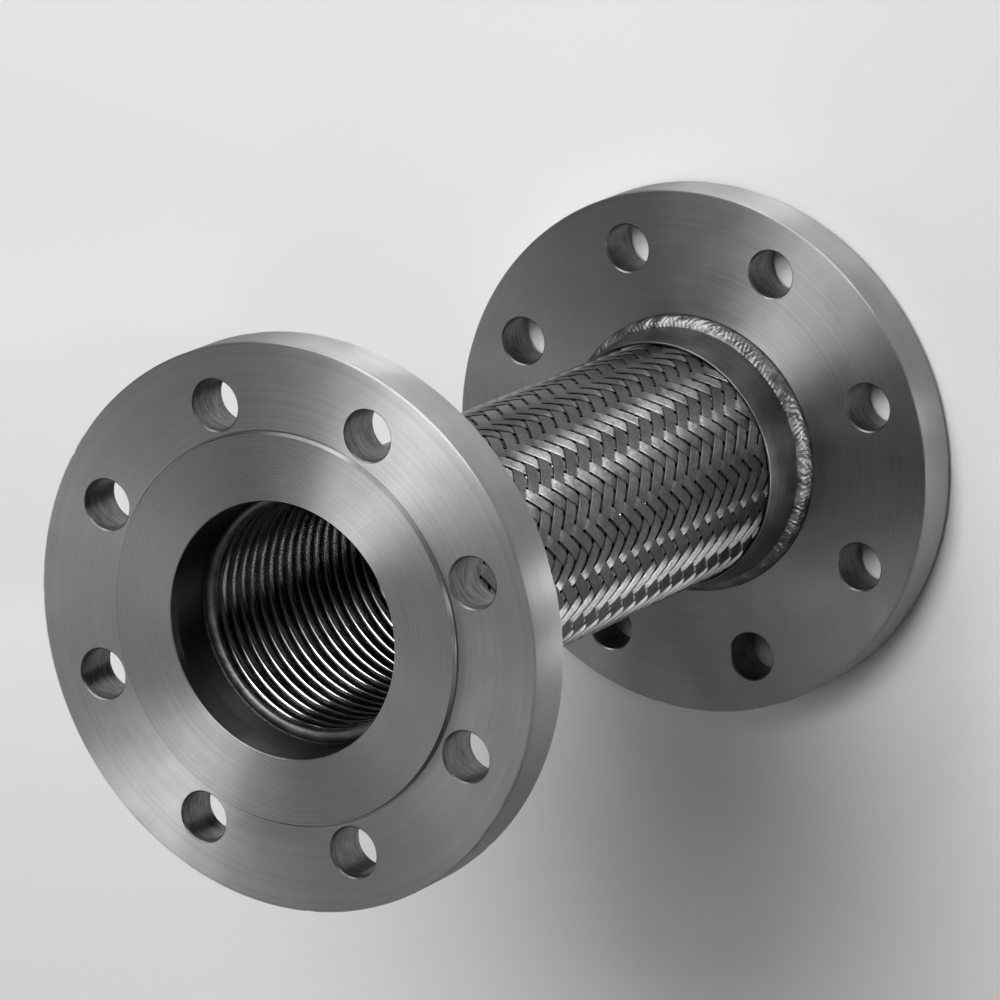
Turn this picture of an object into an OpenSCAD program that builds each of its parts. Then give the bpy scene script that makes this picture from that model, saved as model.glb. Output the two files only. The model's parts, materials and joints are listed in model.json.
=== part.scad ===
// Axial expansion joint: a corrugated metal hose in a wire braid, with a collar and a flange at each end.
// It stands on its lower flange. The hose runs along Z and the lower sealing face lies at Z = 0.

/* [Overall] */
// Length from one sealing face to the other
overall_l = 300; // [220:5:340]

/* [Flanges] */
// Outer diameter of each flange
flange_d = 200; // [190:1:240]
// Thickness of each flange, with its raised face
flange_t = 20; // [14:0.5:30]
// Diameter of the raised sealing face at its foot
face_d = 138; // [124:1:140]
// Height of the raised sealing face
face_h = 2; // [1:0.5:3]
// How far the edge of the raised face slopes in to its top
face_slope = 0.5; // [0.2:0.1:2]
// Step from the wall of the flange's bore in to the wall of the hose's bore
bore_step = 4.35; // [3:0.05:4.9]
// Chamfer at the sealing end of the flange's bore
bore_chamfer = 0.4; // [0.2:0.1:1]
// Chamfer on the outer edges of the rim
rim_chamfer = 0.6; // [0.2:0.1:2]

/* [Bolt holes] */
// Diameter of the circle through the bolt holes
bolt_circle_d = 160; // [159:1:175]
// Number of bolt holes, the first of them half a step from the X axis
bolt_count = 8; // [4:4:12]
// Diameter of a bolt hole
bolt_hole_d = 18; // [12:0.5:19]
// Chamfer at both ends of a bolt hole
hole_chamfer = 0.5; // [0.2:0.1:1]

/* [Corrugated hose] */
// Clear diameter inside the corrugations
hose_bore_d = 81.8; // [78:0.2:90]
// Height of a corrugation, from the inner surface to the outer one
corrugation_h = 3.9; // [3.6:0.1:7]
// Wanted distance from one corrugation to the next
corrugation_pitch = 6; // [4.6:0.1:6.4]
// Thickness of the hose's wall
hose_wall = 0.3; // [0.2:0.05:0.45]

/* [Wire braid] */
// Gap between the hose and the braid round it
braid_gap = 0.1; // [0.1:0.05:0.4]
// Diameter of a braid wire, two layers of which make the braid
wire_d = 0.5; // [0.4:0.05:0.8]
// How far the hollows between the strands lie under their tops
braid_relief = 0.6; // [0.3:0.05:0.6]
// Number of strands that wind each way round
strands = 32; // [24:2:34]
// Angle between a strand and the hose's length
braid_angle = 45.5; // [42:0.5:49]
// Width of a strand, as a share of the room that it has
strand_cover = 0.7; // [0.5:0.05:0.8]

/* [Collars] */
// Length of each collar from the back of its flange
collar_l = 22; // [20:1:40]
// Thickness of a collar at the flange
collar_wall = 3.2; // [2:0.1:6]
// Thickness of a collar at its free edge
collar_edge = 1; // [0.6:0.1:1.6]
// Length over which a collar tapers to its free edge
taper_l = 14; // [8:0.5:15.5]
// Gap between a collar and the braid in it
collar_gap = 0.15; // [0.1:0.05:0.3]

/* [Welds] */
// Leg of the collar weld along the collar
weld_h = 6; // [3:0.25:8]
// Leg of the collar weld along the flange
weld_w = 3.8; // [2.5:0.1:6]
// How far the collar weld bulges out of its slope
weld_bulge = 0.6; // [0.2:0.1:1]
// Thickness of the root weld behind the flange
root_weld_t = 1.5; // [1.2:0.1:3]
// How far the root weld bulges towards the bore's mouth
root_bulge = 0.8; // [0.4:0.1:1.1]

/* [Hidden] */
$fn = 96;
steel = [0.77, 0.77, 0.76];
turned_steel = [0.66, 0.66, 0.65];
braid_steel = [0.58, 0.58, 0.57];
weld_steel = [0.5, 0.5, 0.49];
// Cuts run this far past the faces that they open
overrun = 1;

// Radii from the bore outwards, each piece on the one before
hose_bore_r = hose_bore_d / 2;
hose_r = hose_bore_r + corrugation_h;
braid_inner_r = hose_r + braid_gap;
braid_r = braid_inner_r + 2 * wire_d;
collar_inner_r = braid_r + collar_gap;
collar_r = collar_inner_r + collar_wall;
flange_bore_r = hose_bore_r + bore_step;

// Hose and braid reach from one root weld to the other
hose_start = flange_t + root_weld_t;
hose_end = overall_l - hose_start;
corrugations = round((hose_end - hose_start) / corrugation_pitch);
true_pitch = (hose_end - hose_start) / corrugations;
// Radius of a crest and of a root, halfway through the wall
bend_r = true_pitch / 4;
root_centre_r = hose_bore_r + hose_wall / 2 + bend_r;
crest_centre_r = hose_r - hose_wall / 2 - bend_r;

// The braid is a net of crossings. Each column is half a strand's room further round, and each level is
// half a strand's room further along. In every four columns, two show the strands that fall to the right
// and two show those that rise, so each strand passes over two others and then under two.
columns = 2 * strands;
column_angle = 360 / columns;
level_h = PI * (braid_inner_r + braid_r) / columns / tan(braid_angle);
rows = ceil((overall_l - 2 * flange_t - 2 * collar_l) / (2 * level_h)) + 1;
first_level_z = overall_l / 2 - (rows - 1) * level_h;
low_r = braid_r - braid_relief;
inner_corner_r = braid_inner_r / cos(column_angle / 2);
// Level of the lowest crossing in each of four columns
lowest = [0, -1, 0, 1];
side_inset = (1 - strand_cover) / 2;
end_inset = 0.25;

function wrap(c) = (c + columns) % columns;

function net_point(c, level, r) =
    [r * cos(c * column_angle), r * sin(c * column_angle), first_level_z + level * level_h];

// Number of the hollow in column c at a level
function hollow(c, level) =
    wrap(c) * (rows + 1) + (level - lowest[wrap(c) % 4] + 1) / 2;

// A float is the stretch of a strand that lies on top. These give its first corner, and the steps of one
// crossing along it and across it, each as [column, level].
function float_corner(c, k) = c % 4 == 0 ? [c - 1, 2 * k] : [c, 2 * k - 1];
function along(c) = c % 4 == 0 ? [1, -1] : [1, 1];
function across(c) = c % 4 == 0 ? [1, 1] : [-1, 1];
function float_place(c, k, u, v) = float_corner(c, k) + u * along(c) + v * across(c);

function float_hollows(c, k) =
    [for (p = [[0, 0], [1, 0], [2, 0], [2, 1], [1, 1], [0, 1]])
        let (place = float_place(c, k, p[0], p[1])) hollow(place[0], place[1])];

function float_top(c, k) =
    [for (p = [[end_inset, side_inset], [2 - end_inset, side_inset],
               [2 - end_inset, 1 - side_inset], [end_inset, 1 - side_inset]])
        let (place = float_place(c, k, p[0], p[1])) net_point(place[0], place[1], braid_r)];

// A float's twelve faces, from the six hollows h round it and the four corners of its top, which start at t
function float_faces(h, t, falls) = concat(
    [[h[0], h[1], t], [h[1], t + 1, t], [h[1], h[2], t + 1], [h[2], h[3], t + 1], [h[3], t + 2, t + 1],
     [h[3], h[4], t + 2], [h[4], t + 3, t + 2], [h[4], h[5], t + 3], [h[5], h[0], t + 3], [h[0], t, t + 3]],
    falls ? [[t, t + 1, t + 3], [t + 1, t + 2, t + 3]] : [[t, t + 1, t + 2], [t, t + 2, t + 3]]);

module bolt_hole() {
    radius = bolt_hole_d / 2;
    translate([0, 0, -overrun]) cylinder(h = flange_t + 2 * overrun, r = radius);
    translate([0, 0, face_h - overrun])
        cylinder(h = overrun + hole_chamfer, r1 = radius + hole_chamfer + overrun, r2 = radius);
    translate([0, 0, flange_t - hole_chamfer])
        cylinder(h = overrun + hole_chamfer, r1 = radius, r2 = radius + hole_chamfer + overrun);
}

module flange() {
    rim_r = flange_d / 2;
    color(turned_steel) difference() {
        rotate_extrude() polygon([
            [flange_bore_r + bore_chamfer, 0],
            [face_d / 2 - face_slope, 0],
            [face_d / 2, face_h],
            [rim_r - rim_chamfer, face_h],
            [rim_r, face_h + rim_chamfer],
            [rim_r, flange_t - rim_chamfer],
            [rim_r - rim_chamfer, flange_t],
            [flange_bore_r, flange_t],
            [flange_bore_r, bore_chamfer]]);
        for (i = [0 : bolt_count - 1])
            rotate(360 * (i + 0.5) / bolt_count) translate([bolt_circle_d / 2, 0, 0]) bolt_hole();
    }
}

// Half of a bend in the hose's wall, or a quarter of one: side is 1 for a crest and -1 for a root
module bend(side, low = -1, high = 1) {
    outer = bend_r + hose_wall / 2;
    intersection() {
        difference() {
            circle(outer);
            circle(bend_r - hose_wall / 2);
        }
        translate([side < 0 ? -outer : 0, low * outer]) square([outer, (high - low) * outer]);
    }
}

module corrugation() {
    translate([crest_centre_r, 0]) bend(1);
    for (z = [-bend_r, bend_r])
        translate([root_centre_r, z - hose_wall / 2]) square([crest_centre_r - root_centre_r, hose_wall]);
}

module hose() {
    color(steel) rotate_extrude() {
        for (i = [0 : corrugations - 1])
            translate([0, hose_start + (i + 0.5) * true_pitch]) corrugation();
        for (i = [1 : corrugations - 1])
            translate([root_centre_r, hose_start + i * true_pitch]) bend(-1);
        translate([root_centre_r, hose_start]) bend(-1, low = 0);
        translate([root_centre_r, hose_end]) bend(-1, high = 0);
    }
}

module braid() {
    hollows = [for (c = [0 : columns - 1], k = [0 : rows])
        net_point(c, 2 * k + lowest[c % 4] - 1, low_r)];
    float_starts = [for (c = [0 : 2 : columns - 1], k = [0 : rows - 1]) [c, k]];
    tops = [for (f = float_starts) each float_top(f[0], f[1])];
    all_float_faces = [for (i = [0 : len(float_starts) - 1])
        let (c = float_starts[i][0], k = float_starts[i][1])
        each float_faces(float_hollows(c, k), len(hollows) + 4 * i, c % 4 == 0)];
    // The plain ends under the collars: an outer and an inner ring at each end
    rings = [for (end = [[hose_start, braid_r], [hose_end, braid_r],
                         [hose_start, inner_corner_r], [hose_end, inner_corner_r]],
                  c = [0 : columns - 1])
        [end[1] * cos(c * column_angle), end[1] * sin(c * column_angle), end[0]]];
    ring0 = len(hollows) + len(tops);
    outer_low = ring0;
    outer_high = ring0 + columns;
    inner_low = ring0 + 2 * columns;
    inner_high = ring0 + 3 * columns;
    end_faces = [for (c = [0 : columns - 1])
        let (n = wrap(c + 1), lo = c * (rows + 1), lo_n = n * (rows + 1), hi = lo + rows, hi_n = lo_n + rows)
        each [[outer_low + c, outer_low + n, lo_n], [outer_low + c, lo_n, lo],
              [hi, hi_n, outer_high + n], [hi, outer_high + n, outer_high + c],
              [outer_low + n, outer_low + c, inner_low + c], [outer_low + n, inner_low + c, inner_low + n],
              [outer_high + c, outer_high + n, inner_high + n],
              [outer_high + c, inner_high + n, inner_high + c],
              [inner_low + c, inner_high + c, inner_high + n], [inner_low + c, inner_high + n, inner_low + n]]];
    // Faces are listed here anticlockwise as seen from outside, and a polyhedron takes them clockwise
    color(braid_steel) polyhedron(
        points = concat(hollows, tops, rings),
        faces = [for (f = concat(all_float_faces, end_faces)) [f[0], f[2], f[1]]]);
}

module collar() {
    edge_r = collar_edge / 2;
    collar_end = flange_t + collar_l;
    color(steel) rotate_extrude() {
        polygon([
            [collar_inner_r, flange_t],
            [collar_r, flange_t],
            [collar_r, collar_end - taper_l],
            [collar_inner_r + collar_edge, collar_end - edge_r],
            [collar_inner_r, collar_end - edge_r]]);
        translate([collar_inner_r + edge_r, collar_end - edge_r]) circle(edge_r);
    }
}

module collar_weld() {
    leg = norm([weld_h, weld_w]);
    bead_r = (leg * leg / 4 + weld_bulge * weld_bulge) / (2 * weld_bulge);
    centre = [weld_w, weld_h] / 2 - [weld_h, weld_w] / leg * (bead_r - weld_bulge);
    color(weld_steel) rotate_extrude() translate([collar_r, flange_t]) intersection() {
        translate(centre) circle(bead_r);
        square([weld_w + weld_bulge, weld_h + weld_bulge]);
    }
}

module root_weld() {
    bead_r = (bore_step * bore_step / 4 + root_bulge * root_bulge) / (2 * root_bulge);
    color(weld_steel) rotate_extrude() {
        translate([flange_bore_r, flange_t]) square([collar_inner_r - flange_bore_r, root_weld_t]);
        translate([hose_bore_r, flange_t + root_bulge]) square([bore_step, root_weld_t - root_bulge]);
        intersection() {
            translate([hose_bore_r + bore_step / 2, flange_t + bead_r]) circle(bead_r);
            translate([hose_bore_r, flange_t]) square([bore_step, root_bulge]);
        }
    }
}

// The upper end is the lower one turned over
module at_top() {
    translate([0, 0, overall_l]) mirror([0, 0, 1]) children();
}

flange();  // lower_flange
at_top() flange();  // upper_flange
hose();  // corrugated_hose
braid();  // wire_braid
collar();  // lower_collar
at_top() collar();  // upper_collar
collar_weld();  // lower_collar_weld
at_top() collar_weld();  // upper_collar_weld
root_weld();  // lower_root_weld
at_top() root_weld();  // upper_root_weld
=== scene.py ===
import json
import math

import bmesh
import bpy
import numpy as np
from mathutils import Matrix, Vector


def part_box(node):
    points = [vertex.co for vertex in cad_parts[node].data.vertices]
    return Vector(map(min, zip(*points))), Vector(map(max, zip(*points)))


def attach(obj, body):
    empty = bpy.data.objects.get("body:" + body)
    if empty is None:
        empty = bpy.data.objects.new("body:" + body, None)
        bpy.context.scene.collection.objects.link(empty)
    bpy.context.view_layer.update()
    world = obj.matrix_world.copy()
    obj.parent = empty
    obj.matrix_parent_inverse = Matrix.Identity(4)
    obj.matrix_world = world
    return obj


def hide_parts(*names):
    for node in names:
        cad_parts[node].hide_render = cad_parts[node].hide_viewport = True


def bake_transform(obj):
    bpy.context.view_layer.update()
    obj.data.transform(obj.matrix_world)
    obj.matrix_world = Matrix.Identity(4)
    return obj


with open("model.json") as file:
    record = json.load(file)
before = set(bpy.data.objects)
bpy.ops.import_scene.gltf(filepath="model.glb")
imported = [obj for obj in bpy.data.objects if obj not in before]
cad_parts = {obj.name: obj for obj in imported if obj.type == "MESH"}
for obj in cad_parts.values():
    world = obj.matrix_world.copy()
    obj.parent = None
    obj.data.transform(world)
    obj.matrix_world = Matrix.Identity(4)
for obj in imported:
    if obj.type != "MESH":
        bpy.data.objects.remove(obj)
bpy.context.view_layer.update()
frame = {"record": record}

MM = 0.001

# The driving sizes, read from the frame
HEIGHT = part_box("upper_flange")[1].z
RIM_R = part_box("lower_flange")[1].x
FLANGE_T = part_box("lower_flange")[1].z
HOSE_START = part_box("corrugated_hose")[0].z
HOSE_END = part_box("corrugated_hose")[1].z
HOSE_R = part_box("corrugated_hose")[1].x
BRAID_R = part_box("wire_braid")[1].x
COLLAR_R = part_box("lower_collar")[1].x
COLLAR_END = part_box("lower_collar")[1].z
COLLAR_INNER_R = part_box("lower_root_weld")[1].x
WELD_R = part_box("lower_collar_weld")[1].x
WELD_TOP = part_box("lower_collar_weld")[1].z
BOLTS = next(m for m in frame["record"]["mounts"] if m["name"] == "upper_bolts")["dims"]

# The flanges' sizes that the frame doesn't give
FACE_R = 69 * MM
FACE_H = 2 * MM
FACE_SLOPE = 0.5 * MM
BORE_R = 45.25 * MM
BORE_CHAMFER = 0.4 * MM
FIRST_GROOVE_R = BORE_R + 0.6 * MM
GROOVE_PITCH = 0.8 * MM
GROOVE_DEPTH = 0.035 * MM
FOOT_GROOVE = 0.4 * MM
EDGE_R = 0.6 * MM
BESIDE_EDGE = 1.2 * MM
HOLE_CHAMFER = 0.5 * MM
NICKS = 9

# The collars' and welds' sizes
COLLAR_EDGE_R = 0.5 * MM
COLLAR_TAPER = 14 * MM
WELD_BULGE = 0.75 * MM
WELD_RIPPLES = 92
WELD_RIPPLE_DEPTH = 0.4 * MM
ROOT_BULGE = 0.8 * MM
ROOT_RIPPLES = 70
ROOT_RIPPLE_DEPTH = 0.07 * MM

# The hose's and the braid's sizes
HOSE_BORE_R = 40.9 * MM
HOSE_WALL = 0.3 * MM
CORRUGATIONS = 43
WIRE_D = 0.5 * MM
WIRE_VALLEY = 0.1 * MM
WIRES = 8
STRANDS = 32
STRAND_W = 4.65 * MM
STRAND_TOP = 0.46 * WIRE_D
STRAND_LIFT = 0.47 * WIRE_D
STRAND_CROWN = 0.03 * MM
STRAND_STRAY = 0.5 * MM
BRAID_ANGLE = math.radians(45.5)

# How finely the pieces are divided
FLANGE_STEPS = 384
HOLE_STEPS = 72
COLLAR_STEPS = 240
WELD_STEPS = 1040
ROOT_STEPS = 540
HOSE_STEPS = 96
STRAND_RINGS = 206
SHARP_EDGE = math.radians(32)
TINY = 1e-6

# Mesh pieces


def piece(name, points, faces, sharp=SHARP_EDGE):
    """A mesh object at the origin, smooth but for its edges sharper than that angle."""
    mesh = bpy.data.meshes.new(name)
    mesh.from_pydata([tuple(p) for p in points], [], [tuple(f) for f in faces])
    mesh.polygons.foreach_set("use_smooth", [True] * len(mesh.polygons))
    mesh.update()
    mesh.set_sharp_from_angle(angle=sharp)
    made = bpy.data.objects.new(name, mesh)
    bpy.context.scene.collection.objects.link(made)
    return made


def turned(outline, steps, shift=None):
    """Points and faces of a closed outline of (radius, height), turned round the Z axis.
    The outline is listed anticlockwise. shift(radius, height, turn) gives how far each point leaves it,
    in radius and in height."""
    angle = np.arange(steps) * 2 * math.pi / steps
    radius, turn = np.meshgrid(np.array(outline)[:, 0], angle)
    height, _ = np.meshgrid(np.array(outline)[:, 1], angle)
    if shift:
        out, up = shift(radius, height, turn)
        radius, height = radius + out, height + up
    points = np.stack([radius * np.cos(turn), radius * np.sin(turn), height], axis=-1).reshape(-1, 3)
    count = len(outline)
    ring = np.arange(steps)[:, None] * count
    next_ring = (ring + count) % (steps * count)
    here = np.arange(count)[None, :]
    there = (here + 1) % count
    faces = np.stack([ring + here, next_ring + here, next_ring + there, ring + there], axis=-1)
    return points, faces.reshape(-1, 4)


def arc(centre, radius, start, end, steps):
    """Points of (radius, height) on an arc, its angles in degrees."""
    angles = np.radians(np.linspace(start, end, steps + 1))
    return [(centre[0] + radius * math.cos(a), centre[1] + radius * math.sin(a)) for a in angles]


def placed(points, end):
    """The points of a lower piece, or for the upper end the same turned over about the X axis."""
    if end == "lower":
        return points
    return np.array(points) * [1, -1, -1] + [0, 0, HEIGHT]


def dents(seed, edge_height):
    """Small nicks in the rim's edge at one height: gives the depth of the nicks at each point."""
    rng = np.random.default_rng(seed)
    place = rng.uniform(0, 2 * math.pi, NICKS)
    width = rng.uniform(0.8, 2.2, NICKS) * MM / RIM_R
    depth = rng.uniform(0.12, 0.45, NICKS) * MM
    reach = 1.1 * MM

    def depth_at(radius, height, turn):
        near_edge = np.clip(1 - np.hypot(RIM_R - radius, height - edge_height) / reach, 0, 1)
        away = np.angle(np.exp(1j * (turn[..., None] - place)))
        nick = (depth * np.exp(-((away / width) ** 2))).sum(-1)
        return nick * near_edge

    return depth_at


# Node trees


class Tree:
    """Makes nodes in a tree. An input takes a number, a vector or another node's output."""

    def __init__(self, nodes):
        self.tree = nodes

    def put(self, socket, value):
        if isinstance(value, bpy.types.NodeSocket):
            self.tree.links.new(value, socket)
        else:
            socket.default_value = value

    def node(self, kind, inputs=None, **settings):
        made = self.tree.nodes.new(kind)
        for name, value in settings.items():
            setattr(made, name, value)
        for name, value in (inputs or {}).items():
            self.put(made.inputs[name], value)
        return made

    def first(self, kind, inputs=None, **settings):
        """The first output of a new node."""
        return self.node(kind, inputs, **settings).outputs[0]

    def calc(self, operation, *values):
        made = self.node("ShaderNodeMath", operation=operation)
        for socket, value in zip(made.inputs, values):
            self.put(socket, value)
        return made.outputs[0]

    def add(self, a, b):
        return self.calc("ADD", a, b)

    def less(self, a, b):
        return self.calc("SUBTRACT", a, b)

    def times(self, a, b):
        return self.calc("MULTIPLY", a, b)

    def ratio(self, a, b):
        return self.calc("DIVIDE", a, b)

    def between(self, value, low, high, to_low=0.0, to_high=1.0):
        """A soft step from to_low, where the value is low, to to_high, where it is high."""
        inputs = {"Value": value, "From Min": low, "From Max": high, "To Min": to_low, "To Max": to_high}
        return self.first("ShaderNodeMapRange", inputs, interpolation_type="SMOOTHSTEP")

    def apart(self, vector):
        return self.node("ShaderNodeSeparateXYZ", {"Vector": vector}).outputs

    def together(self, x, y, z):
        return self.first("ShaderNodeCombineXYZ", {"X": x, "Y": y, "Z": z})

    def grey(self, amount, blue_share=1.0):
        """A grey of that brightness, a little warm where its blue share is under 1."""
        blue = self.times(amount, blue_share)
        return self.first("ShaderNodeCombineColor", {"Red": amount, "Green": amount, "Blue": blue})

    def marked(self, geometry, name, value, kind, domain):
        """The geometry with a value stored on it under a name."""
        inputs = {"Geometry": geometry, "Name": name, "Value": value}
        return self.first("GeometryNodeStoreNamedAttribute", inputs, data_type=kind, domain=domain)

    def copies(self, points, shape):
        """Real copies of a shape, one on each point."""
        copies = self.first("GeometryNodeInstanceOnPoints", {"Points": points, "Instance": shape})
        return self.first("GeometryNodeRealizeInstances", {"Geometry": copies})

    def finished(self, geometry, material, where=True):
        """The geometry with a material on it, or on a selection of its faces."""
        inputs = {"Geometry": geometry, "Selection": where, "Material": material}
        return self.first("GeometryNodeSetMaterial", inputs)


# Finishes

STEEL_BLUE = 0.985

# Half the range of noise that is spread from low to high: a narrower one gives more contrast
SOFT = 0.2
STRONG = 0.15


class Finish(Tree):
    """A material with one metal shader. Its noise scales are in cycles a metre."""

    def __init__(self, name, anisotropy=0.0):
        self.material = bpy.data.materials.new(name)
        self.material.use_nodes = True
        super().__init__(self.material.node_tree)
        self.tree.nodes.clear()
        self.shader = self.node("ShaderNodeBsdfPrincipled", {"Metallic": 1.0, "Anisotropic": anisotropy})
        output = self.node("ShaderNodeOutputMaterial")
        self.tree.links.new(self.shader.outputs[0], output.inputs["Surface"])
        self.place = self.node("ShaderNodeTexCoord").outputs["Object"]
        self.x, self.y, self.z = self.apart(self.place)
        squares = self.add(self.times(self.x, self.x), self.times(self.y, self.y))
        self.radius = self.calc("SQRT", squares)

    def noise(self, scale, detail, place=None):
        """Noise from 0 to 1 on the object's own coordinates, or on a vector made from them."""
        vector = self.place if place is None else place
        inputs = {"Vector": vector, "Scale": scale, "Detail": detail, "Roughness": 0.55}
        return self.node("ShaderNodeTexNoise", inputs).outputs["Fac"]

    def spread(self, noise, low, high, contrast=SOFT):
        """Noise spread from low to high."""
        return self.between(noise, 0.5 - contrast, 0.5 + contrast, low, high)

    def rings(self, scale):
        """Noise that is nearly the same all the way round, as a turning tool leaves it."""
        round_slowly = 0.004
        return self.noise(scale, 2.0, self.together(self.radius, self.times(self.x, round_slowly), self.z))

    def scratches(self, turn, scale, share):
        """Fine straight scratches in one direction: 1 on a scratch and 0 beside it."""
        inputs = {"Vector": self.place, "Rotation": (0.3, 0.2, turn), "Scale": (0.12, 1.0, 0.7)}
        line = self.noise(scale, 1.0, self.first("ShaderNodeMapping", inputs))
        patch = self.noise(38.0, 2.0)
        return self.times(self.between(line, 0.72 - share, 0.75 - share), self.between(patch, 0.45, 0.6))

    def grain(self, along):
        """Lays the shader's grain along a direction, so that its highlights spread across it."""
        self.put(self.shader.inputs["Tangent"], along)
        self.put(self.shader.inputs["Anisotropic Rotation"], 0.25)

    def grain_round(self):
        """Lays the grain round the Z axis."""
        self.grain(self.together(self.times(self.y, -1.0), self.x, 0.0))

    def bump(self, height, distance):
        normal = self.first("ShaderNodeBump", {"Height": height, "Distance": distance, "Strength": 1.0})
        self.put(self.shader.inputs["Normal"], normal)

    def done(self, colour, roughness):
        self.put(self.shader.inputs["Base Color"], self.grey(colour, STEEL_BLUE))
        self.put(self.shader.inputs["Roughness"], roughness)
        return self.material


def turned_steel():
    """Flange steel as the lathe left it: fine rings, soft blotches, light scratches and a worn edge."""
    f = Finish("turned_steel", anisotropy=0.93)
    f.grain_round()
    fine = f.rings(2600.0)
    broad = f.rings(700.0)
    blotch = f.noise(45.0, 4.0)
    scratch = f.calc("MAXIMUM", f.scratches(0.6, 500.0, 0.02), f.scratches(-1.1, 600.0, 0.0))
    worn_edge = f.between(f.radius, RIM_R - 0.9 * MM, RIM_R - 0.3 * MM, 0.0, 0.06)
    colour = f.add(0.35, f.add(f.spread(fine, -0.028, 0.028), f.spread(broad, -0.014, 0.014)))
    colour = f.add(colour, f.spread(blotch, -0.03, 0.03))
    colour = f.add(colour, f.add(f.times(scratch, 0.025), worn_edge))

    # Painted shade: the bore's wall is darkened as if in shadow. The back and the rim are a little darker
    # than the front
    bore = f.between(f.radius, BORE_R + 0.02 * MM, BORE_R + 0.2 * MM, 0.15, 1.0)
    from_middle = f.calc("ABSOLUTE", f.less(f.z, HEIGHT / 2))
    back_height = HEIGHT / 2 - FLANGE_T
    back = f.between(from_middle, back_height + 0.02 * MM, back_height + 0.3 * MM, 0.78, 1.0)
    rim = f.between(f.radius, RIM_R - 0.3 * MM, RIM_R - 0.05 * MM, 1.0, 0.88)
    colour = f.times(f.times(colour, bore), f.times(back, rim))

    # Painted shade: the sealing face has a dark line painted in each of its grooves
    on_face = f.between(from_middle, HEIGHT / 2 - 0.4 * MM, HEIGHT / 2 - 0.2 * MM)
    groove_shade = f.calc("PINGPONG", f.less(f.radius, FIRST_GROOVE_R), GROOVE_PITCH / 2)
    groove_shade = f.between(groove_shade, GROOVE_PITCH * 0.12, GROOVE_PITCH * 0.45, 0.0, 0.3)
    colour = f.times(colour, f.less(1.0, f.times(groove_shade, on_face)))

    f.bump(f.less(fine, f.times(scratch, 0.15)), 0.009 * MM)
    return f.done(colour, f.add(f.spread(blotch, 0.43, 0.51), f.spread(fine, -0.03, 0.03)))


def drilled_steel():
    """The bolt holes' walls: dull, with the drill's marks round them, and kept dark overall as painted shade
    inside the holes.
    """
    f = Finish("drilled_steel")
    marks = f.noise(900.0, 2.0, f.together(f.times(f.x, 0.15), f.times(f.y, 0.15), f.z))
    blotch = f.noise(160.0, 3.0)
    # Painted shade: the walls' colour is kept dark, as shade inside the holes; the drill's marks on it are
    # real
    colour = f.add(f.spread(marks, 0.13, 0.22, STRONG), f.spread(blotch, -0.03, 0.03, STRONG))
    f.bump(marks, 0.03 * MM)
    return f.done(colour, f.spread(blotch, 0.36, 0.46))


def satin_steel():
    """Collar steel: a fine satin with faint rings."""
    f = Finish("satin_steel", anisotropy=0.45)
    f.grain_round()
    fine = f.rings(2200.0)
    blotch = f.noise(60.0, 3.0)
    colour = f.add(f.spread(fine, 0.12, 0.16), f.spread(blotch, -0.02, 0.02, STRONG))
    f.bump(f.add(fine, f.noise(1500.0, 2.0)), 0.008 * MM)
    return f.done(colour, f.spread(blotch, 0.36, 0.46))


def drawn_strip():
    """Hose steel: bright thin strip, painted darker away from the bore as shade deeper in the corrugations.
    """
    f = Finish("drawn_strip")
    # Painted shade: darker away from the bore, deeper in the corrugations' folds
    base = f.between(f.radius, HOSE_BORE_R, HOSE_BORE_R + 1.6 * MM, 0.46, 0.32)
    blotch = f.noise(120.0, 3.0)
    return f.done(f.add(base, f.spread(blotch, -0.05, 0.05)), f.spread(blotch, 0.1, 0.15))


def drawn_wire(name, turn):
    """Braid wire, with duller stretches, and painted shade in the seams between the wires and in the hollows
    where a strand dips under.
    Its grain runs along the strand."""
    f = Finish(name, anisotropy=0.95)
    sideways = turn * math.sin(BRAID_ANGLE)
    grain_x = f.times(f.ratio(f.y, f.radius), -sideways)
    grain_y = f.times(f.ratio(f.x, f.radius), sideways)
    f.grain(f.together(grain_x, grain_y, math.cos(BRAID_ANGLE)))
    speck = f.noise(700.0, 2.0)
    patch = f.noise(70.0, 3.0)
    colour = f.add(0.19, f.add(f.spread(speck, -0.035, 0.035), f.spread(patch, -0.035, 0.035)))
    # Painted shade: darker where a strand dips under another, in the hollows
    depth = f.between(f.radius, BRAID_R - 0.8 * MM, BRAID_R - 0.15 * MM)
    hollow_shade = f.between(depth, 0.0, 1.0, 0.12, 1.0)
    # Painted shade: a dark line in the valleys between the wires
    height = f.node("ShaderNodeAttribute", attribute_name="height_in_strand").outputs["Fac"]
    seam_shade = f.between(height, STRAND_TOP - WIRE_VALLEY, STRAND_TOP - 0.3 * WIRE_VALLEY, 0.45, 1.0)
    return f.done(f.times(colour, f.times(hollow_shade, seam_shade)), f.spread(speck, 0.4, 0.48))


def weld_metal():
    """Weld metal: fine curved ripples across the bead, uneven brightness, and dark toes."""
    f = Finish("weld_metal")
    half_leg = (WELD_R - COLLAR_R) / 2
    across = f.ratio(f.less(f.radius, COLLAR_R + half_leg), half_leg)
    end = f.calc("SIGN", f.less(HEIGHT / 2, f.z))
    turn = f.times(f.times(f.calc("ARCTAN2", f.y, f.x), end), 2.0 * WELD_RIPPLES)
    wander = f.times(f.noise(90.0, 2.0), 5.0)
    ripple = f.calc("SINE", f.less(f.add(turn, wander), f.times(across, 5.0)))
    grain = f.noise(1400.0, 3.0)
    patch = f.noise(160.0, 3.0)
    toe = f.between(f.calc("ABSOLUTE", across), 0.78, 1.0, 1.0, 0.3)
    colour = f.add(f.spread(patch, 0.15, 0.3, STRONG), f.spread(grain, -0.03, 0.03))
    f.bump(f.add(f.times(ripple, 0.5), grain), 0.06 * MM)
    return f.done(f.times(colour, toe), f.spread(patch, 0.34, 0.5))


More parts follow.
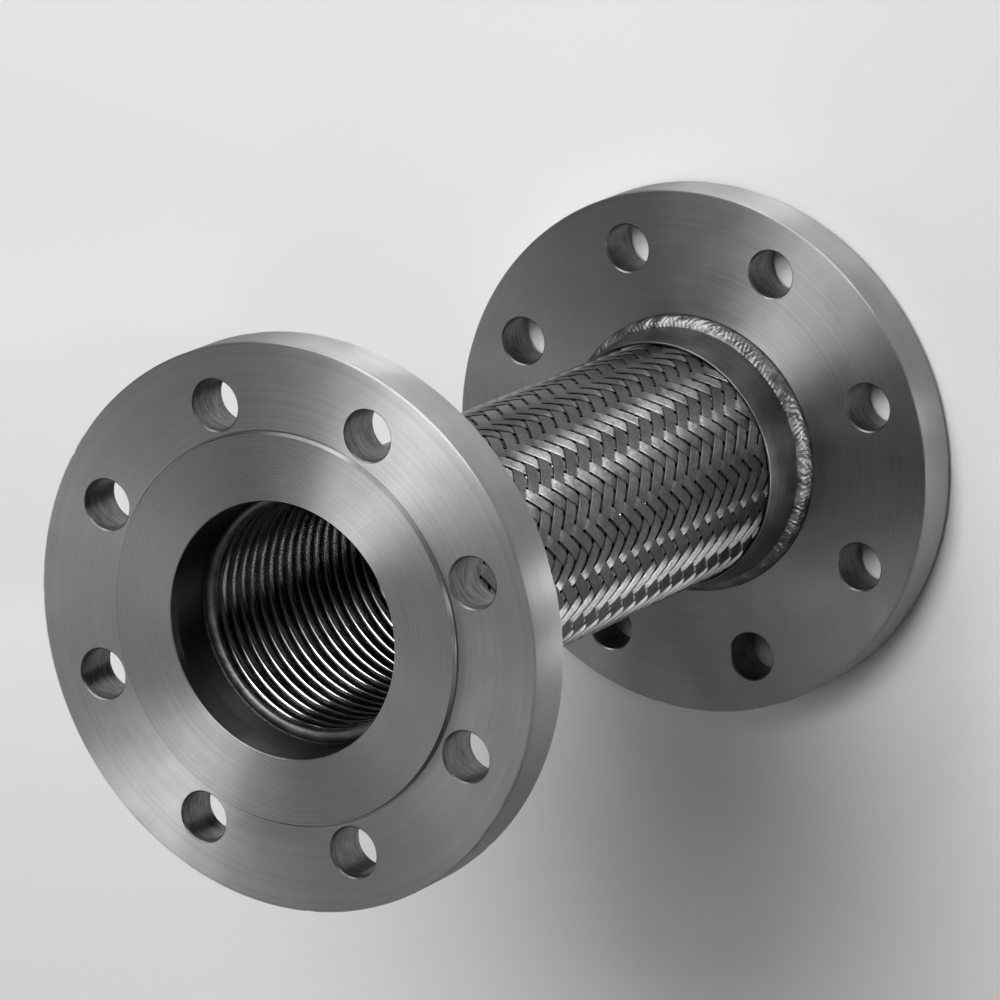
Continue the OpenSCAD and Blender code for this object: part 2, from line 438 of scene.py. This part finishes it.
def root_metal():
    """The root weld's smooth dark lip, with painted shade at its outer toe by the bore's wall."""
    f = Finish("root_metal")
    grain = f.noise(900.0, 3.0)
    patch = f.noise(140.0, 3.0)
    # Painted shade: the lip darkens towards its outer toe, in the corner by the bore's wall
    toe = f.between(f.radius, BORE_R - 1.1 * MM, BORE_R - 0.3 * MM, 1.0, 0.2)
    colour = f.add(f.spread(patch, 0.12, 0.17, STRONG), f.spread(grain, -0.02, 0.02))
    f.bump(grain, 0.02 * MM)
    return f.done(f.times(colour, toe), f.spread(patch, 0.42, 0.52))


def floor_paint():
    """The pale floor, plain and matt."""
    material = bpy.data.materials.new("floor_paint")
    material.use_nodes = True
    t = Tree(material.node_tree)
    shader = material.node_tree.nodes["Principled BSDF"]
    place = t.node("ShaderNodeTexCoord").outputs["Object"]
    mottle = t.node("ShaderNodeTexNoise", {"Vector": place, "Scale": 2.0, "Detail": 2.0}).outputs["Fac"]
    t.put(shader.inputs["Base Color"], t.grey(t.between(mottle, 0.3, 0.7, 0.84, 0.86)))
    t.put(shader.inputs["Roughness"], 0.6)
    t.put(shader.inputs["Specular IOR Level"], 0.0)
    return material


# Patterns made by Geometry Nodes


def grown(name, base, build, inputs):
    """Runs a node tree on the base piece, and returns its result as a plain mesh piece.
    build(tree, sockets) lays the nodes and returns the geometry, and inputs holds (label, kind, value)."""
    nodes = bpy.data.node_groups.new(name, "GeometryNodeTree")
    nodes.interface.new_socket("Geometry", in_out="INPUT", socket_type="NodeSocketGeometry")
    nodes.interface.new_socket("Geometry", in_out="OUTPUT", socket_type="NodeSocketGeometry")
    values = {}
    for label, kind, value in inputs:
        socket = nodes.interface.new_socket(label, in_out="INPUT", socket_type="NodeSocket" + kind)
        values[socket.identifier] = value
    tree = Tree(nodes)
    start = tree.node("NodeGroupInput")
    tree.node("NodeGroupOutput", {"Geometry": build(tree, start.outputs)})
    modifier = base.modifiers.new(name, "NODES")
    modifier.node_group = nodes
    for key, value in values.items():
        modifier[key] = value
    bpy.context.view_layer.update()
    mesh = bpy.data.meshes.new_from_object(base.evaluated_get(bpy.context.evaluated_depsgraph_get()))
    mesh.name = name
    while mesh.materials and mesh.materials[0] is None:
        mesh.materials.pop(index=0)
    made = bpy.data.objects.new(name, mesh)
    bpy.context.scene.collection.objects.link(made)
    base.modifiers.remove(modifier)
    bpy.data.objects.remove(base)
    return made


def drilled(tree, group):
    """Cuts a circle of holes: the cutter stands at each hole, and the first hole lies half a step from X.
    The walls that the cutter leaves get the wall finish."""
    circle = tree.first("GeometryNodeMeshCircle",
                        {"Vertices": group["Holes"], "Radius": group["Circle radius"]})
    half_step = tree.together(0.0, 0.0, tree.ratio(math.pi, group["Holes"]))
    places = tree.first("GeometryNodeTransform", {"Geometry": circle, "Rotation": half_step})
    cutter = tree.node("GeometryNodeObjectInfo", {"Object": group["Cutter"]}).outputs["Geometry"]
    cutters = tree.copies(places, tree.marked(cutter, "wall", True, "BOOLEAN", "FACE"))
    cut = tree.first("GeometryNodeMeshBoolean", {"Mesh 1": group["Geometry"], "Mesh 2": cutters},
                     operation="DIFFERENCE", solver="EXACT")
    wall = tree.first("GeometryNodeInputNamedAttribute", {"Name": "wall"}, data_type="BOOLEAN")
    faced = tree.finished(cut, group["Material"])
    return tree.finished(faced, group["Wall material"], wall)


def stacked(tree, group):
    """Repeats one corrugation along Z, and joins each one to the next."""
    start = tree.together(0.0, 0.0, group["Start"])
    step = tree.together(0.0, 0.0, group["Pitch"])
    line = tree.first("GeometryNodeMeshLine",
                      {"Count": group["Corrugations"], "Start Location": start, "Offset": step})
    whole = tree.copies(line, group["Geometry"])
    merged = tree.first("GeometryNodeMergeByDistance", {"Geometry": whole, "Distance": 0.01 * MM})
    return tree.finished(merged, group["Material"])


def woven(tree, group):
    """Winds copies of a straight strand round the hose, two over and two under the strands of the other way.
    A column is half a strand's room round the hose, and a level is half a strand's room along it."""
    count = tree.first("GeometryNodeMeshLine", {"Count": group["Strands in this piece"], "Offset": (0, 0, 0)})
    index = tree.first("GeometryNodeInputIndex")
    number = tree.add(tree.times(index, group["Strand step"]), group["First strand"])
    points = tree.marked(count, "strand", number, "FLOAT", "POINT")
    whole = tree.copies(points, group["Geometry"])
    strand = tree.first("GeometryNodeInputNamedAttribute", {"Name": "strand"}, data_type="FLOAT")
    along, across, above = tree.apart(tree.first("GeometryNodeInputPosition"))

    # Each strand strays a little to either side
    seed = tree.together(tree.times(along, 40.0), strand, group["Seed"])
    stray = tree.node("ShaderNodeTexNoise", {"Vector": seed, "Scale": 1.0, "Detail": 1.0}).outputs["Fac"]
    across = tree.add(across, tree.times(tree.less(stray, 0.5), group["Stray"]))

    # The point's place on the unrolled hose, as a level and a column
    turn = group["Turn"]
    sine = tree.calc("SINE", group["Braid angle"])
    cosine = tree.calc("COSINE", group["Braid angle"])
    height = tree.less(tree.times(along, cosine), tree.times(turn, tree.times(across, sine)))
    level = tree.less(tree.ratio(height, group["Level height"]), group["Levels below"])
    sideways = tree.add(tree.times(turn, tree.times(along, sine)), tree.times(across, cosine))
    column = tree.ratio(sideways, group["Column width"])
    column = tree.less(column, tree.times(turn, group["Levels below"]))
    column = tree.add(column, tree.times(strand, 2.0))

    # The crossing that the point is at, counted from the middle of a stretch that lies on top
    crossing = tree.times(tree.add(column, tree.times(turn, level)), 0.5)
    crossing = tree.less(tree.add(crossing, strand), tree.add(1.5, turn))
    wrapped = tree.calc("FLOORED_MODULO", tree.add(crossing, 2.0), 4.0)
    away = tree.calc("ABSOLUTE", tree.less(wrapped, 2.0))
    over = tree.between(away, 0.78, 1.22, 1.0, -1.0)
    crown = tree.times(tree.between(away, 0.0, 1.2, 1.0, 0.0), group["Crown"])
    radius = tree.add(tree.add(group["Middle radius"], above), crown)
    radius = tree.add(radius, tree.times(over, group["Lift"]))

    angle = tree.times(column, group["Column angle"])
    x = tree.times(radius, tree.calc("COSINE", angle))
    y = tree.times(radius, tree.calc("SINE", angle))
    place = tree.together(x, y, tree.add(group["Start"], height))
    whole = tree.marked(whole, "height_in_strand", above, "FLOAT", "POINT")
    bent = tree.first("GeometryNodeSetPosition", {"Geometry": whole, "Position": place})
    return tree.finished(bent, group["Material"])


# The pieces


def flange_outline():
    """Half a section of the flange: the bore, the grooved sealing face, the rim and the back.
    A point beside each rounded edge keeps the shading of the edge off the wide faces."""
    grooves = int((FACE_R - FACE_SLOPE - BORE_R) / GROOVE_PITCH - 0.5)
    outline = [(BORE_R, FLANGE_T), (BORE_R, BORE_CHAMFER), (BORE_R + BORE_CHAMFER, 0.0)]
    for i in range(grooves):
        start = FIRST_GROOVE_R + i * GROOVE_PITCH
        outline += [(start, 0.0), (start + GROOVE_PITCH / 2, GROOVE_DEPTH)]
    outline += [(FACE_R - FACE_SLOPE, 0.0), (FACE_R, FACE_H), (FACE_R + 0.1 * MM, FACE_H + FOOT_GROOVE)]
    outline += [(FACE_R + FOOT_GROOVE, FACE_H + FOOT_GROOVE), (FACE_R + 1.5 * FOOT_GROOVE, FACE_H)]
    outline += [(RIM_R - EDGE_R - BESIDE_EDGE, FACE_H)]
    outline += arc((RIM_R - EDGE_R, FACE_H + EDGE_R), EDGE_R, -90, 0, 4)
    outline += [(RIM_R, FACE_H + EDGE_R + BESIDE_EDGE), (RIM_R, FLANGE_T - EDGE_R - BESIDE_EDGE)]
    outline += arc((RIM_R - EDGE_R, FLANGE_T - EDGE_R), EDGE_R, 0, 90, 4)
    return outline + [(RIM_R - EDGE_R - BESIDE_EDGE, FLANGE_T)]


def hole_cutter():
    """A drill's shape for one bolt hole, with the chamfers of both faces."""
    radius = BOLTS["hole_r_mm"] * MM
    over = 1 * MM
    wide_r = radius + HOLE_CHAMFER + over
    axis_r = 0.01 * MM
    outline = [(axis_r, FACE_H - over), (wide_r, FACE_H - over), (radius, FACE_H + HOLE_CHAMFER)]
    outline += [(radius, FLANGE_T - HOLE_CHAMFER), (wide_r, FLANGE_T + over), (axis_r, FLANGE_T + over)]
    return turned(outline, HOLE_STEPS)


def flange(end, seed):
    """A drilled flange with a few nicks in its rim's edges."""
    front = dents(seed, FACE_H)
    back = dents(seed + 1, FLANGE_T)

    def nicked(radius, height, turn):
        depth = front(radius, height, turn) + back(radius, height, turn)
        return -depth, np.where(height < FLANGE_T / 2, 0.5, -0.5) * depth

    points, faces = turned(flange_outline(), FLANGE_STEPS, nicked)
    base = piece(end + "_flange_blank", placed(points, end), faces)
    points, faces = hole_cutter()
    cutter = piece(end + "_hole_cutter", placed(points, end), faces)
    made = grown(end + "_turned_flange", base, drilled,
                 [("Cutter", "Object", cutter), ("Holes", "Int", BOLTS["count"]),
                  ("Circle radius", "Float", BOLTS["pcd_mm"] / 2 * MM), ("Material", "Material", STEEL),
                  ("Wall material", "Material", DRILLED)])
    bpy.data.objects.remove(cutter)
    made.data.set_sharp_from_angle(angle=SHARP_EDGE)
    return made


def collar(end):
    """The sleeve that holds the braid's end, tapered to a rounded free edge."""
    outline = [(COLLAR_INNER_R, FLANGE_T), (COLLAR_R, FLANGE_T), (COLLAR_R, COLLAR_END - COLLAR_TAPER)]
    edge_centre = (COLLAR_INNER_R + COLLAR_EDGE_R, COLLAR_END - COLLAR_EDGE_R)
    outline += arc(edge_centre, COLLAR_EDGE_R, 8, 180, 9)
    points, faces = turned(outline, COLLAR_STEPS)
    return piece(end + "_satin_collar", placed(points, end), faces)


def ripples(per_turn, depth, lean, seed):
    """The overlapping ripples of a hand-laid bead.
    Gives how far each point stands out, from its angle and its place across the bead, from -1 to 1."""
    rng = np.random.default_rng(seed)
    swing = rng.uniform(0, 2 * math.pi, 8)
    strength = rng.uniform(0.35, 1.3, per_turn)

    def out(turn, across):
        uneven = sum(0.32 / (1 + 0.4 * k) * np.sin((5 + 9 * k) * turn + swing[k]) for k in range(8))
        place = turn * per_turn / (2 * math.pi) + uneven - lean * (across + 0.35 * (1 - across**2))
        number = np.floor(place)
        step = place - number
        crest = np.sin(math.pi * step**1.6) ** 1.3 - 0.4
        return depth * (1 - across**4) * strength[number.astype(int) % per_turn] * crest

    return out


def collar_weld(end, seed):
    """The fillet weld between collar and flange."""
    leg_r, leg_z = WELD_R - COLLAR_R, WELD_TOP - FLANGE_T
    slope = math.hypot(leg_r, leg_z)
    steps = 10
    outline = [(COLLAR_R, FLANGE_T)]
    for i in range(steps + 1):
        t = i / steps
        swell = WELD_BULGE * 4 * t * (1 - t) / slope
        outline.append((WELD_R - leg_r * t + swell * leg_z, FLANGE_T + leg_z * t + swell * leg_r))
    ripple = ripples(WELD_RIPPLES, WELD_RIPPLE_DEPTH, 0.9, seed)

    def rippled(radius, height, turn):
        across = np.clip(2 * (height - FLANGE_T) / leg_z - 1, -1, 1)
        inner = (radius <= COLLAR_R + TINY) & (height <= FLANGE_T + TINY)
        out = np.where(inner, 0.0, ripple(turn, across))
        return out * 0.85, out * 0.5

    points, faces = turned(outline, WELD_STEPS, rippled)
    return piece(end + "_weld_bead", placed(points, end), faces, math.radians(80))


def root_weld(end, seed):
    """The weld that closes the space between hose, collar and flange, with a rounded lip in the bore."""
    lip_w = BORE_R - HOSE_BORE_R
    steps = 8
    outline = [(COLLAR_INNER_R, FLANGE_T), (COLLAR_INNER_R, HOSE_START), (HOSE_BORE_R, HOSE_START)]
    for i in range(steps):
        t = i / steps
        outline.append((HOSE_BORE_R + lip_w * t, FLANGE_T + ROOT_BULGE * (1 - 4 * t * (1 - t))))
    outline.append((BORE_R, FLANGE_T))
    ripple = ripples(ROOT_RIPPLES, ROOT_RIPPLE_DEPTH, 0.5, seed)

    def rippled(radius, height, turn):
        across = np.clip(2 * (radius - HOSE_BORE_R) / lip_w - 1, -1, 1)
        on_lip = (radius < BORE_R - TINY) & (height < HOSE_START - TINY)
        return np.zeros_like(radius), np.where(on_lip, -ripple(turn, across), 0.0)

    points, faces = turned(outline, ROOT_STEPS, rippled)
    return piece(end + "_root_bead", placed(points, end), faces, math.radians(60))


def close_ends(mesh):
    """Joins the outer wall to the inner one at each end."""
    shell = bmesh.new()
    shell.from_mesh(mesh)
    middle = (HOSE_START + HOSE_END) / 2
    for at_end in (lambda z: z < middle, lambda z: z > middle):
        edges = [e for e in shell.edges if e.is_boundary and at_end(e.verts[0].co.z)]
        bmesh.ops.bridge_loops(shell, edges=edges)
    shell.to_mesh(mesh)
    shell.free()


def hose():
    """The corrugated hose: one corrugation is turned, and a node tree repeats it."""
    pitch = (HOSE_END - HOSE_START) / CORRUGATIONS
    bend = pitch / 4
    root_r = HOSE_BORE_R + HOSE_WALL / 2 + bend
    crest_r = HOSE_R - HOSE_WALL / 2 - bend
    sharp = math.radians(100)

    def wall(side, root_steps):
        off = side * HOSE_WALL / 2
        low = arc((root_r, 0), bend - off, 180, 90, root_steps)
        high = arc((root_r, pitch), bend - off, -90, -180, root_steps)
        return low + arc((crest_r, pitch / 2), bend + off, -90, 90, 4) + high

    points, faces = [], []
    for path, flip in ((wall(1, 1), False), (wall(-1, 4), True)):
        base = len(points)
        made, quads = turned(path, HOSE_STEPS)
        open_quads = [q for i, q in enumerate(quads) if (i + 1) % len(path)]
        points += list(made)
        faces += [tuple(base + v for v in (q[::-1] if flip else q)) for q in open_quads]
    made = grown("hose_corrugations", piece("corrugation", points, faces, sharp), stacked,
                 [("Corrugations", "Int", CORRUGATIONS), ("Start", "Float", HOSE_START),
                  ("Pitch", "Float", pitch), ("Material", "Material", STRIP)])
    close_ends(made.data)
    made.data.set_sharp_from_angle(angle=sharp)
    return made


def straight_strand():
    """One strand of side by side wires, laid straight along X: rounded wires on top, and a flat underside."""
    length = (HOSE_END - HOSE_START) / math.cos(BRAID_ANGLE)
    section = []
    for i in range(2 * WIRES + 1):
        across = STRAND_W * (0.5 - i / (2 * WIRES))
        section.append((across, STRAND_TOP - (WIRE_VALLEY if i % 2 == 0 else 0.0)))
    section += [(-STRAND_W / 2, -STRAND_TOP), (STRAND_W / 2, -STRAND_TOP)]
    count = len(section)
    last = STRAND_RINGS - 1
    points = [(length * i / last, y, z) for i in range(STRAND_RINGS) for y, z in section]
    faces = [tuple(range(count))[::-1], tuple(last * count + k for k in range(count))]
    for i in range(last):
        for k in range(count):
            n = (k + 1) % count
            faces.append((i * count + k, i * count + n, (i + 1) * count + n, (i + 1) * count + k))
    return piece("straight_strand", points, [f[::-1] for f in faces], math.radians(75))


def braid(turn, half):
    """Half of the strands that wind one way. turn is 1 for those that climb anticlockwise, seen from above,
    and -1 for the rest."""
    middle_r = BRAID_R - WIRE_D
    column_angle = math.pi / STRANDS
    column_w = middle_r * column_angle
    level_h = column_w / math.tan(BRAID_ANGLE)
    # Levels are counted from a crossing, which lies on the middle of the hose or one level off it
    rows = math.ceil((HEIGHT - 2 * COLLAR_END) / (2 * level_h)) + 1
    levels_below = (HEIGHT / 2 - HOSE_START) / level_h - (rows - 1)
    name = ("rising" if turn > 0 else "falling") + ("_strands_a" if half == 0 else "_strands_b")
    return grown(name, straight_strand(), woven,
                 [("Strands in this piece", "Int", STRANDS // 2), ("First strand", "Int", half),
                  ("Strand step", "Int", 2), ("Turn", "Float", turn), ("Braid angle", "Float", BRAID_ANGLE),
                  ("Column width", "Float", column_w), ("Column angle", "Float", column_angle),
                  ("Level height", "Float", level_h), ("Levels below", "Float", levels_below),
                  ("Start", "Float", HOSE_START), ("Middle radius", "Float", middle_r),
                  ("Lift", "Float", STRAND_LIFT), ("Crown", "Float", STRAND_CROWN),
                  ("Stray", "Float", STRAND_STRAY), ("Seed", "Float", 7.0 * turn),
                  ("Material", "Material", WIRE[turn])])


STEEL = turned_steel()
DRILLED = drilled_steel()
SATIN = satin_steel()
STRIP = drawn_strip()
WIRE = {1: drawn_wire("rising_wire", 1), -1: drawn_wire("falling_wire", -1)}
BEAD = weld_metal()
ROOT = root_metal()

for end, seed in (("lower", 11), ("upper", 23)):
    body = end + "_end"
    parts = [(flange(end, seed), STEEL, "_flange", "flange_steel"),
             (collar(end), SATIN, "_collar", "collar_steel"),
             (collar_weld(end, seed), BEAD, "_collar_weld", "weld_steel"),
             (root_weld(end, seed + 1), ROOT, "_root_weld", "weld_steel")]
    for made, finish, node, slot in parts:
        if not made.data.materials:
            made.data.materials.append(finish)
        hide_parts(end + node)
        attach(made, body)

made = hose()
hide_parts("corrugated_hose")
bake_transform(made)
for turn in (1, -1):
    for half in (0, 1):
        made = braid(turn, half)
        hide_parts("wire_braid")
        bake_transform(made)


# The studio

CENTRE = Vector((0, 0, HEIGHT / 2))
FLOOR_HALF = 12.0
FLOOR_GAP = 0.3 * MM
NEAR = 1.7
SNOOT_R = 0.06
SNOOT_BEAM = math.radians(8.8)
SNOOT_SOFTNESS = 0.6

# The two rim lamps hang low and far off, so that the floor under them doesn't glare in other views
FAR = 5.1

# The photograph's camera, fitted to the edges and holes of both flanges
CAMERA_PLACE = Vector((-1.335635, 0.347795, 2.167184))
CAMERA_AIM = Vector((-0.003024, -0.011226, 0.147648))
CAMERA_ROLL = math.radians(-113.1773)
LENS_MM = 245.56
SENSOR_MM = 36.0


def make_floor():
    """A floor just under the lower sealing face."""
    corners = [(x * FLOOR_HALF, y * FLOOR_HALF, -FLOOR_GAP) for x, y in ((-1, -1), (1, -1), (1, 1), (-1, 1))]
    floor = piece("floor", corners, [(0, 1, 2, 3)])
    floor.data.materials.append(floor_paint())


def hang(name, data, azimuth, elevation, distance):
    """Hangs a lamp round the object, pointing at its centre. Its angles are in degrees, and its azimuth is
    measured round Z from X."""
    lamp = bpy.data.objects.new(name, data)
    a, e = math.radians(azimuth), math.radians(elevation)
    towards = Vector((math.cos(a) * math.cos(e), math.sin(a) * math.cos(e), math.sin(e)))
    lamp.location = CENTRE + towards * distance
    lamp.rotation_euler = (-towards).to_track_quat("-Z", "Y").to_euler()
    lamp.visible_camera = False
    bpy.context.scene.collection.objects.link(lamp)


def make_lamp(name, azimuth, elevation, size, power, distance=NEAR):
    """A soft round lamp."""
    data = bpy.data.lights.new(name, "AREA")
    data.shape = "DISK"
    data.size = size
    data.energy = power
    hang(name, data, azimuth, elevation, distance)


def make_snoot(name, azimuth, elevation, power):
    """A lamp in a snoot, whose soft-edged beam falls on the braid between the flanges."""
    data = bpy.data.lights.new(name, "SPOT")
    data.shadow_soft_size = SNOOT_R
    data.spot_size = SNOOT_BEAM
    data.spot_blend = SNOOT_SOFTNESS
    data.energy = power
    hang(name, data, azimuth, elevation, NEAR)


def make_world():
    """A dim studio: dark grey overhead and paler towards the horizon."""
    world = bpy.data.worlds.new("studio")
    world.use_nodes = True
    t = Tree(world.node_tree)
    background = world.node_tree.nodes["Background"]
    direction = t.node("ShaderNodeTexCoord").outputs["Generated"]
    up = t.apart(direction)[2]
    t.put(background.inputs["Color"], t.grey(t.between(up, 0.02, 0.45, 0.2, 0.03)))
    t.put(background.inputs["Strength"], 1.0)
    bpy.context.scene.world = world


def make_camera():
    """The photograph's view: a long lens above the upper flange, rolled as the object lies."""
    data = bpy.data.cameras.new("camera")
    data.sensor_width = SENSOR_MM
    data.lens = LENS_MM
    camera = bpy.data.objects.new("camera", data)
    level = (CAMERA_AIM - CAMERA_PLACE).to_track_quat("-Z", "Y").to_matrix().to_4x4()
    camera.matrix_world = Matrix.Translation(CAMERA_PLACE) @ level @ Matrix.Rotation(CAMERA_ROLL, 4, "Z")
    bpy.context.scene.collection.objects.link(camera)
    bpy.context.scene.camera = camera


make_floor()
make_world()
make_lamp("key", azimuth=225, elevation=60, size=0.9, power=20)
make_lamp("fill", azimuth=205, elevation=70, size=0.7, power=3)
make_lamp("rim", azimuth=235, elevation=8, size=1.5, power=81, distance=FAR)
make_lamp("rim_left", azimuth=255, elevation=12, size=1.8, power=54, distance=FAR)
make_lamp("side", azimuth=330, elevation=30, size=0.8, power=3)
make_lamp("top", azimuth=0, elevation=60, size=0.8, power=2.4)
make_lamp("front", azimuth=110, elevation=15, size=0.7, power=1.5)
make_snoot("braid", azimuth=147, elevation=6, power=125)
make_snoot("braid_left", azimuth=127, elevation=6, power=75)
make_camera()
bpy.context.scene.view_settings.view_transform = "Standard"
